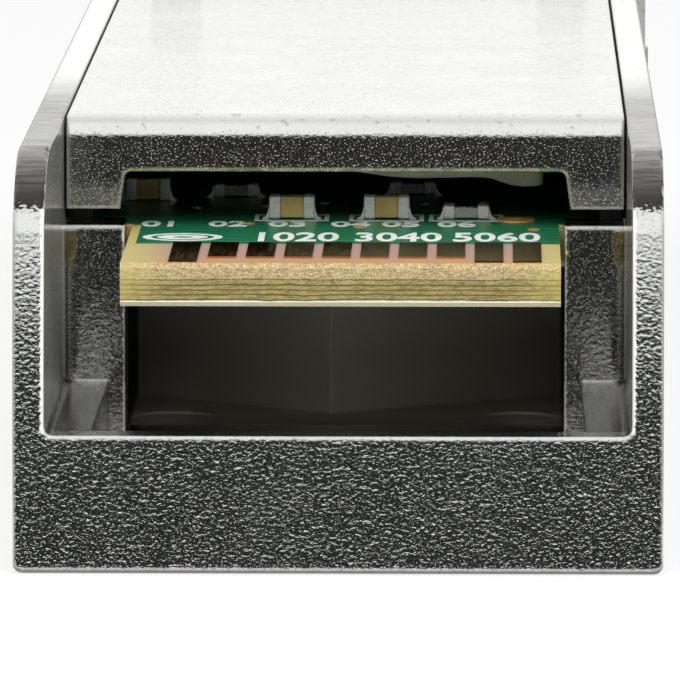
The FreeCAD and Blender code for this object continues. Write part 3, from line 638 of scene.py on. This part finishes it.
def copy_at(piece, shift):
    # A copy with a mesh of its own, moved by its mesh.
    only(piece)
    bpy.ops.object.duplicate(linked=False)
    copy = bpy.context.object
    copy.location = shift
    bpy.ops.object.transform_apply(location=True, rotation=False, scale=False)
    return copy


def join(pieces, name):
    only(pieces[0])
    for piece in pieces[1:]:
        piece.select_set(True)
    if len(pieces) > 1:
        bpy.ops.object.join()
    joined = bpy.context.object
    joined.name = name
    return joined


def settle(piece, look, body="body", angle=40.0, stands_for=()):
    # Brings a finished piece to metres, gives it its look, ties it to its body and hides the CAD nodes
    # that it stands for.
    only(piece)
    piece.scale = (MM, MM, MM)
    bpy.ops.object.transform_apply(location=True, rotation=True, scale=True)
    bpy.ops.object.shade_smooth_by_angle(angle=math.radians(angle))
    piece.data.materials.clear()
    piece.data.materials.append(looks[look])
    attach(piece, body)
    if stands_for:
        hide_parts(*stands_for)


# Chip parts on the board

CHIP_LENGTH = 1.0
CHIP_DEPTH = 0.5
CHIP_TERMINAL = 0.26
CAPACITOR_HEIGHT = 0.5
RESISTOR_HEIGHT = 0.3
CAPACITOR_PLACES = [(-1.19, 11.05), (0.87, 11.05), (-4.45, 14.4)]
RESISTOR_PLACES = [(2.6, 11.05), (-2.52, 15.1), (1.4, 15.6)]


def chip_body(height):
    inset = 0.02
    lift = 0.03
    corner = 0.018
    half = CHIP_LENGTH / 2 - CHIP_TERMINAL
    low = at(-half, inset, BOARD_TOP + lift)
    high = at(half, CHIP_DEPTH - inset, BOARD_TOP + height - inset)
    return round_edges(block("chip_body", low, high), corner, 2)


def chip_end(height):
    corner = 0.05
    half = CHIP_LENGTH / 2
    low = at(half - CHIP_TERMINAL, 0.0, BOARD_TOP)
    high = at(half, CHIP_DEPTH, BOARD_TOP + height)
    end = round_edges(block("chip_end", low, high), corner, 3)
    edit_all(end)
    bpy.ops.mesh.subdivide(number_cuts=1, smoothness=0.0)
    bpy.ops.mesh.vertices_smooth(factor=0.4, repeat=1)
    end_edit()
    return end


def solder_fillet():
    # A wedge of solder with a hollow face, from the foot of a chip out over its pad.
    reach = 0.14
    rise = 0.24
    overlap = 0.005
    inset = 0.02
    hollow = 0.93
    half = CHIP_LENGTH / 2
    wedge = block("solder_fillet", at(half - overlap, inset, BOARD_TOP),
                  at(half + reach, CHIP_DEPTH - inset, BOARD_TOP + rise))
    middle = at(half + reach, CHIP_DEPTH / 2, BOARD_TOP + rise + 0.01)
    scoop = rod("scoop", middle, 1.0, 1.0, 48, (math.radians(90), 0.0, 0.0))
    stretch_about(scoop, (reach * hollow, 1.0, rise * hollow), middle)
    return cut_away(wedge, scoop)


def other_end(piece):
    # The same shape turned half round about the chip's middle.
    copy = copy_at(piece, (0.0, 0.0, 0.0))
    edit_all(copy)
    bpy.ops.transform.rotate(value=math.pi, orient_axis="Z", center_override=at(0.0, CHIP_DEPTH / 2, 0.0))
    end_edit()
    return copy


def spread(pieces, places, name):
    # Copies a set of shapes to each place and joins the copies into one piece.
    copies = []
    for x, depth in places:
        for piece in pieces:
            copies.append(copy_at(piece, (x, depth, 0.0)))
    for piece in pieces:
        bpy.data.objects.remove(piece)
    return join(copies, name)


def chip_parts():
    body = chip_body(CAPACITOR_HEIGHT)
    settle(spread([body], CAPACITOR_PLACES, "capacitor_blocks"), "tan_ceramic",
           stands_for=["capacitor_bodies"])
    end = chip_end(CAPACITOR_HEIGHT)
    settle(spread([end, other_end(end)], CAPACITOR_PLACES, "capacitor_end_caps"), "tin", angle=60.0,
           stands_for=["capacitor_terminals"])
    body = chip_body(RESISTOR_HEIGHT)
    settle(spread([body], RESISTOR_PLACES, "resistor_blocks"), "black_glaze",
           stands_for=["resistor_bodies"])
    end = chip_end(RESISTOR_HEIGHT)
    settle(spread([end, other_end(end)], RESISTOR_PLACES, "resistor_end_caps"), "tin", angle=60.0,
           stands_for=["resistor_terminals"])
    fillet = solder_fillet()
    settle(spread([fillet, other_end(fillet)], CAPACITOR_PLACES + RESISTOR_PLACES, "solder_fillets"),
           "solder", stands_for=["solder_joints"])


# Marks, rings and filler on the board


def limited(share):
    return min(1.0, max(0.0, share))


def thermal_filler():
    # A slab of soft gap filler pressed up against the ceiling, with a sagging lower face.
    underside = 6.84
    lump_middle = at(3.9, 12.1, underside)
    lump_half_width = 0.7
    lump_half_length = 1.3
    lump_drop = 0.2
    thinned_rise = 0.24
    slab = block("thermal_filler", at(-1.38, 11.95, underside), at(4.28, 15.25, CEILING))
    edit_all(slab)
    bpy.ops.mesh.subdivide(number_cuts=24, smoothness=0.0)
    end_edit()
    hanging = slab.vertex_groups.new(name="hanging")
    hanging.add([v.index for v in slab.data.vertices if v.co.z < CEILING - 0.2], 1.0, "REPLACE")
    lumps = bpy.data.textures.new("filler_lumps", "CLOUDS")
    lumps.noise_scale = 1.1
    lumps.noise_depth = 2
    sag = slab.modifiers.new("sag", "DISPLACE")
    sag.texture = lumps
    sag.texture_coords = "LOCAL"
    sag.vertex_group = hanging.name
    sag.mid_level = 0.5
    sag.strength = 0.1
    bpy.ops.object.modifier_apply(modifier=sag.name)

    # A low lump hangs at the right, and the left is thinner
    for vertex in slab.data.vertices:
        across = (vertex.co.x - lump_middle.x) / lump_half_width
        along = (vertex.co.y - lump_middle.y) / lump_half_length
        fall = max(0.0, 1.0 - across * across - along * along)
        share = limited((CEILING - 0.25 - vertex.co.z) / 0.5)
        thinner = limited((0.9 - vertex.co.x) / 1.4)
        vertex.co.z += share * (thinned_rise * thinner - lump_drop * fall ** 0.7)
    smooth = slab.modifiers.new("soften", "SMOOTH")
    smooth.factor = 0.5
    smooth.iterations = 3
    bpy.ops.object.modifier_apply(modifier=smooth.name)
    settle(slab, "pale_filler", angle=80.0, stands_for=["thermal_pad"])


SILK_THICKNESS = 0.012
HOLE_HEIGHT = 0.2


def silk_number(number, x, depth, size, stretch):
    # A printed number, stretched along the part.
    bpy.ops.object.select_all(action="DESELECT")
    bpy.ops.object.text_add(location=at(x, depth, BOARD_TOP))
    mark = bpy.context.object
    mark.data.body = number
    mark.data.align_x = "CENTER"
    mark.data.align_y = "CENTER"
    mark.data.size = size
    mark.data.offset = 0.02
    mark.data.resolution_u = 4
    mark.data.extrude = SILK_THICKNESS / 2
    mark.scale = (1.0, stretch, 1.0)
    bpy.ops.object.convert(target="MESH")
    bpy.ops.object.transform_apply(location=True, rotation=True, scale=True)
    return bpy.context.object


def silk_frame(x, depth, width, length, stroke):
    # A thin printed outline round a part's place.
    def slab(name, half_width, half_length, half_height):
        return block(name, at(x - half_width, depth - half_length, BOARD_TOP - half_height),
                     at(x + half_width, depth + half_length, BOARD_TOP + half_height))

    outline = slab("silk_frame", width / 2, length / 2, SILK_THICKNESS / 2)
    hole = slab("silk_hole", width / 2 - stroke, length / 2 - stroke, HOLE_HEIGHT / 2)
    return cut_away(outline, hole)


def silk_ring(x, depth, radius, stroke, stretch):
    # A printed ring, widened across the part.
    middle = at(x, depth, BOARD_TOP)
    ring = rod("silk_ring", middle, radius, SILK_THICKNESS, 40)
    cut_away(ring, rod("silk_hole", middle, radius - stroke, HOLE_HEIGHT, 40))
    stretch_about(ring, (stretch, 1.0, 1.0), middle)
    return ring


def board_print():
    # Two rows of plain numbers behind the contacts, a ring mark and outlines round the chip parts.
    front_row = [("1020", -1.05), ("3040", 1.15), ("5060", 3.25)]
    back_row = [("01", -4.0), ("02", -2.55), ("03", -1.25), ("04", 0.1), ("05", 1.2), ("06", 2.4)]
    front_depth = 7.75
    back_depth = 10.1
    ring_x = -3.45
    marks = [silk_number(number, x, front_depth, 0.95, 2.2) for number, x in front_row]
    marks += [silk_number(number, x, back_depth, 0.85, 1.5) for number, x in back_row]
    marks.append(silk_ring(ring_x, front_depth, 0.66, 0.14, 1.3))
    marks.append(silk_ring(ring_x, front_depth, 0.34, 0.2, 1.6))
    for x, depth in CAPACITOR_PLACES[:2] + RESISTOR_PLACES[:1]:
        marks.append(silk_frame(x, depth + CHIP_DEPTH / 2, 1.62, 1.2, 0.1))
    settle(join(marks, "board_print"), "print_white")


def via_rings():
    places = [(-0.52, 14.0), (1.69, 13.95), (2.24, 14.05), (3.01, 14.3), (-1.8, 13.4), (-3.3, 13.1),
              (0.3, 9.6), (4.05, 9.2), (-2.1, 10.2)]
    ring = rod("via_ring", at(0.0, 0.0, BOARD_TOP + 0.006), 0.13, 0.03, 24)
    cut_away(ring, rod("via_bore", at(0.0, 0.0, BOARD_TOP), 0.06, HOLE_HEIGHT, 24))
    settle(spread([ring], places, "via_rings"), "ring_gold")


# Bail grip

GRIP_HALF = 4.1
GRIP_RIBS = 18
GRIP_PLAIN_END = 0.3
GRIP_WAIST = 0.84


def bail_sleeve():
    # A moulded sleeve over the bail's bar, ribbed for the finger.
    low = at(-GRIP_HALF, 55.34, 0.07)
    high = at(GRIP_HALF, 56.499, 1.13)
    ribbed_half = GRIP_HALF - GRIP_PLAIN_END
    pitch = ribbed_half / GRIP_RIBS
    sleeve = round_edges(block("bail_sleeve", low, high), 0.16, 3)
    only(sleeve)
    bpy.ops.object.mode_set(mode="EDIT")
    for step in range(2 * GRIP_RIBS + 1):
        bpy.ops.mesh.select_all(action="SELECT")
        bpy.ops.mesh.bisect(plane_co=(step * pitch - ribbed_half, 0.0, 0.0), plane_no=(1.0, 0.0, 0.0))
    bpy.ops.mesh.select_all(action="DESELECT")
    end_edit()

    # Every second ring of points is drawn in, which leaves the ribs between
    for vertex in sleeve.data.vertices:
        steps = (vertex.co.x + ribbed_half) / pitch
        inside = abs(vertex.co.x) < ribbed_half - pitch / 2
        vertex.select = inside and abs(steps - round(steps)) < 0.05 and round(steps) % 2 == 1
    bpy.ops.object.mode_set(mode="EDIT")
    bpy.ops.transform.resize(value=(1.0, GRIP_WAIST, GRIP_WAIST), center_override=(low + high) / 2)
    end_edit()
    cut_away(sleeve, block("bar_hole", at(-5.0, 55.62, 0.35), at(5.0, 56.22, 0.85)))
    settle(sleeve, "grip_plastic", body="bail", angle=30.0, stands_for=["bail_grip"])


dress_cad_nodes()
chip_parts()
thermal_filler()
board_print()
via_rings()
bail_sleeve()


# Floor, light and camera


def bare_material(name):
    # A material with no nodes yet.
    material = bpy.data.materials.new(name)
    material.use_nodes = True
    material.node_tree.nodes.clear()
    return material, material.node_tree


def any_ray(tree, *kinds):
    # 1 for rays of the kinds that are named.
    path = add(tree, "LightPath")
    result = path.outputs["Is %s Ray" % kinds[0]]
    for kind in kinds[1:]:
        result = maths(tree, "MAXIMUM", result, path.outputs["Is %s Ray" % kind])
    return result


def mix_shaders(tree, share, first, second):
    mixed = add(tree, "MixShader")
    tree.links.new(share, mixed.inputs["Fac"])
    tree.links.new(first.outputs[0], mixed.inputs[1])
    tree.links.new(second.outputs[0], mixed.inputs[2])
    return mixed


def studio_floor():
    # Plain pale floor: white to the eye, with the part's soft shadow kept.
    glow_share = 0.72
    bpy.ops.object.select_all(action="DESELECT")
    bpy.ops.mesh.primitive_plane_add(size=4.0, location=(0.0, 0.0, -2.0e-5))
    floor = bpy.context.object
    floor.name = "floor"
    material, tree = bare_material("pale_floor")
    paper = add(tree, "BsdfDiffuse")
    paper.inputs["Color"].default_value = plain_grey(0.86)
    glow = add(tree, "Emission")
    glow.inputs["Color"].default_value = WHITE
    shown = any_ray(tree, "Camera", "Glossy", "Transmission")
    mixed = mix_shaders(tree, times(tree, shown, glow_share), paper, glow)
    tree.links.new(mixed.outputs[0], add(tree, "OutputMaterial").inputs["Surface"])
    floor.data.materials.append(material)


def studio_card(name, low, high, outward, rise, shade):
    # A card on the floor with its outer edge turned up, there only for the metal to mirror.
    bpy.ops.object.select_all(action="DESELECT")
    bpy.ops.mesh.primitive_plane_add(size=1.0)
    card = bpy.context.object
    card.name = name
    for vertex in card.data.vertices:
        vertex.co.x = low.x if vertex.co.x < 0 else high.x
        vertex.co.y = low.y if vertex.co.y < 0 else high.y
        vertex.co.z = low.z
    bpy.ops.object.mode_set(mode="EDIT")
    bpy.ops.mesh.select_mode(type="EDGE")
    bpy.ops.mesh.select_all(action="DESELECT")
    bpy.ops.object.mode_set(mode="OBJECT")
    reach = max(vertex.co.dot(outward) for vertex in card.data.vertices)
    for edge in card.data.edges:
        ends = [card.data.vertices[index].co for index in edge.vertices]
        edge.select = all(end.dot(outward) > reach - 1.0e-6 for end in ends)
    bpy.ops.object.mode_set(mode="EDIT")
    bpy.ops.mesh.extrude_region_move(TRANSFORM_OT_translate={"value": (0.0, 0.0, rise)})
    bpy.ops.object.mode_set(mode="OBJECT")
    material, tree = bare_material(name)
    glow = add(tree, "Emission")
    glow.inputs["Color"].default_value = shade
    tree.links.new(glow.outputs[0], add(tree, "OutputMaterial").inputs["Surface"])
    card.data.materials.append(material)
    card.visible_camera = False
    card.visible_diffuse = False
    card.visible_shadow = False
    card.visible_transmission = False


def studio_cards():
    # Dark in front of the part, with a grey strip at its foot, and grey to its left, right and back.
    lift = 1.0e-4
    strip = -1.0e-5
    near_black = (0.029, 0.031, 0.030, 1.0)
    warm_grey = (0.33, 0.31, 0.27, 1.0)
    side_grey = plain_grey(0.34)
    back_grey = plain_grey(0.36)
    studio_card("front_card", Vector((-0.4, -0.30, lift)), Vector((0.4, -0.0284, lift)),
                Vector((0.0, -1.0, 0.0)), 0.044, near_black)
    studio_card("foot_card", Vector((-0.4, -0.0284, strip)), Vector((0.4, -0.0272, strip)),
                Vector((0.0, 1.0, 0.0)), 5.0e-6, warm_grey)
    studio_card("left_card", Vector((-0.20, -0.028, lift)), Vector((-0.012, 0.08, lift)),
                Vector((-1.0, 0.0, 0.0)), 0.05, side_grey)
    studio_card("right_card", Vector((0.012, -0.028, lift)), Vector((0.20, 0.08, lift)),
                Vector((1.0, 0.0, 0.0)), 0.05, side_grey)
    studio_card("back_card", Vector((-0.4, 0.0286, lift)), Vector((0.4, 0.30, lift)),
                Vector((0.0, 1.0, 0.0)), 0.01, back_grey)


def background(tree, colour, strength):
    made = add(tree, "Background")
    feed(tree, made.inputs["Color"], colour)
    made.inputs["Strength"].default_value = strength
    return made


def studio_world():
    # White to the eye, even soft light on the part, and for mirror-like metal a large
    # soft box overhead and behind, dark low down in front and dimmer to the sides.
    # Each stop has a share of the half turn from the front over the top to the back, and a level.
    soft_box = [(0.0, 0.02), (0.054, 0.03), (0.076, 1.0), (0.36, 1.0), (0.5, 0.78), (0.64, 1.0),
                (1.0, 1.0)]
    mirrored_strength = 1.2
    soft_strength = 0.75
    low_fill = 0.4
    world = bpy.data.worlds.new("studio")
    scene.world = world
    world.use_nodes = True
    tree = world.node_tree
    tree.nodes.clear()
    across, along, level = split(tree, add(tree, "TexCoord").outputs["Generated"])
    turn = maths(tree, "ARCTAN2", level, times(tree, along, -1.0))
    share = maths(tree, "DIVIDE", turn, math.pi)
    sky = add(tree, "ValToRGB")
    tree.links.new(share, sky.inputs["Fac"])
    fill_ramp(sky.color_ramp, [(position, plain_grey(shade)) for position, shade in soft_box])
    aside = span(tree, maths(tree, "ABSOLUTE", across), 0.35, 0.95, 0.0, 0.5)
    mirrored = background(tree, blend_colours(tree, aside, sky.outputs["Color"], plain_grey(0.1)),
                          mirrored_strength)
    fill = span(tree, share, 0.05, 0.16, low_fill, 1.0)
    soft = background(tree, blend_colours(tree, fill, BLACK, WHITE), soft_strength)
    backdrop = background(tree, WHITE, 1.0)
    lighting = mix_shaders(tree, any_ray(tree, "Glossy"), soft, mirrored)
    shown = mix_shaders(tree, any_ray(tree, "Camera", "Transmission"), lighting, backdrop)
    tree.links.new(shown.outputs[0], add(tree, "OutputWorld").inputs["Surface"])


def key_light():
    # A broad lamp in front, above and to the right, which mirrors do not show.
    lamp = bpy.data.lights.new("key", "AREA")
    lamp.shape = "RECTANGLE"
    lamp.size = 0.30
    lamp.size_y = 0.20
    lamp.energy = 0.74
    holder = bpy.data.objects.new("key", lamp)
    scene.collection.objects.link(holder)
    holder.location = (0.03, -0.22, 0.20)
    aim = Vector((0.0, -0.02, 0.005)) - holder.location
    holder.rotation_euler = aim.to_track_quat("-Z", "Y").to_euler()
    holder.visible_glossy = False


def camera():
    target = Vector((0.05, -HALF_LENGTH, 4.865)) * MM
    distance = 0.180
    azimuth = math.radians(1.0)
    elevation = math.radians(7.6)
    away = Vector((math.sin(azimuth) * math.cos(elevation), -math.cos(azimuth) * math.cos(elevation),
                   math.sin(elevation)))
    data = bpy.data.cameras.new("camera")
    data.sensor_width = 36.0
    data.lens = 464.8
    data.clip_start = 0.01
    data.clip_end = 20.0
    holder = bpy.data.objects.new("camera", data)
    scene.collection.objects.link(holder)
    holder.location = target + away * distance
    holder.rotation_euler = (-away).to_track_quat("-Z", "Y").to_euler()
    scene.camera = holder


studio_floor()
studio_cards()
studio_world()
key_light()
camera()
scene.view_settings.view_transform = "Standard"
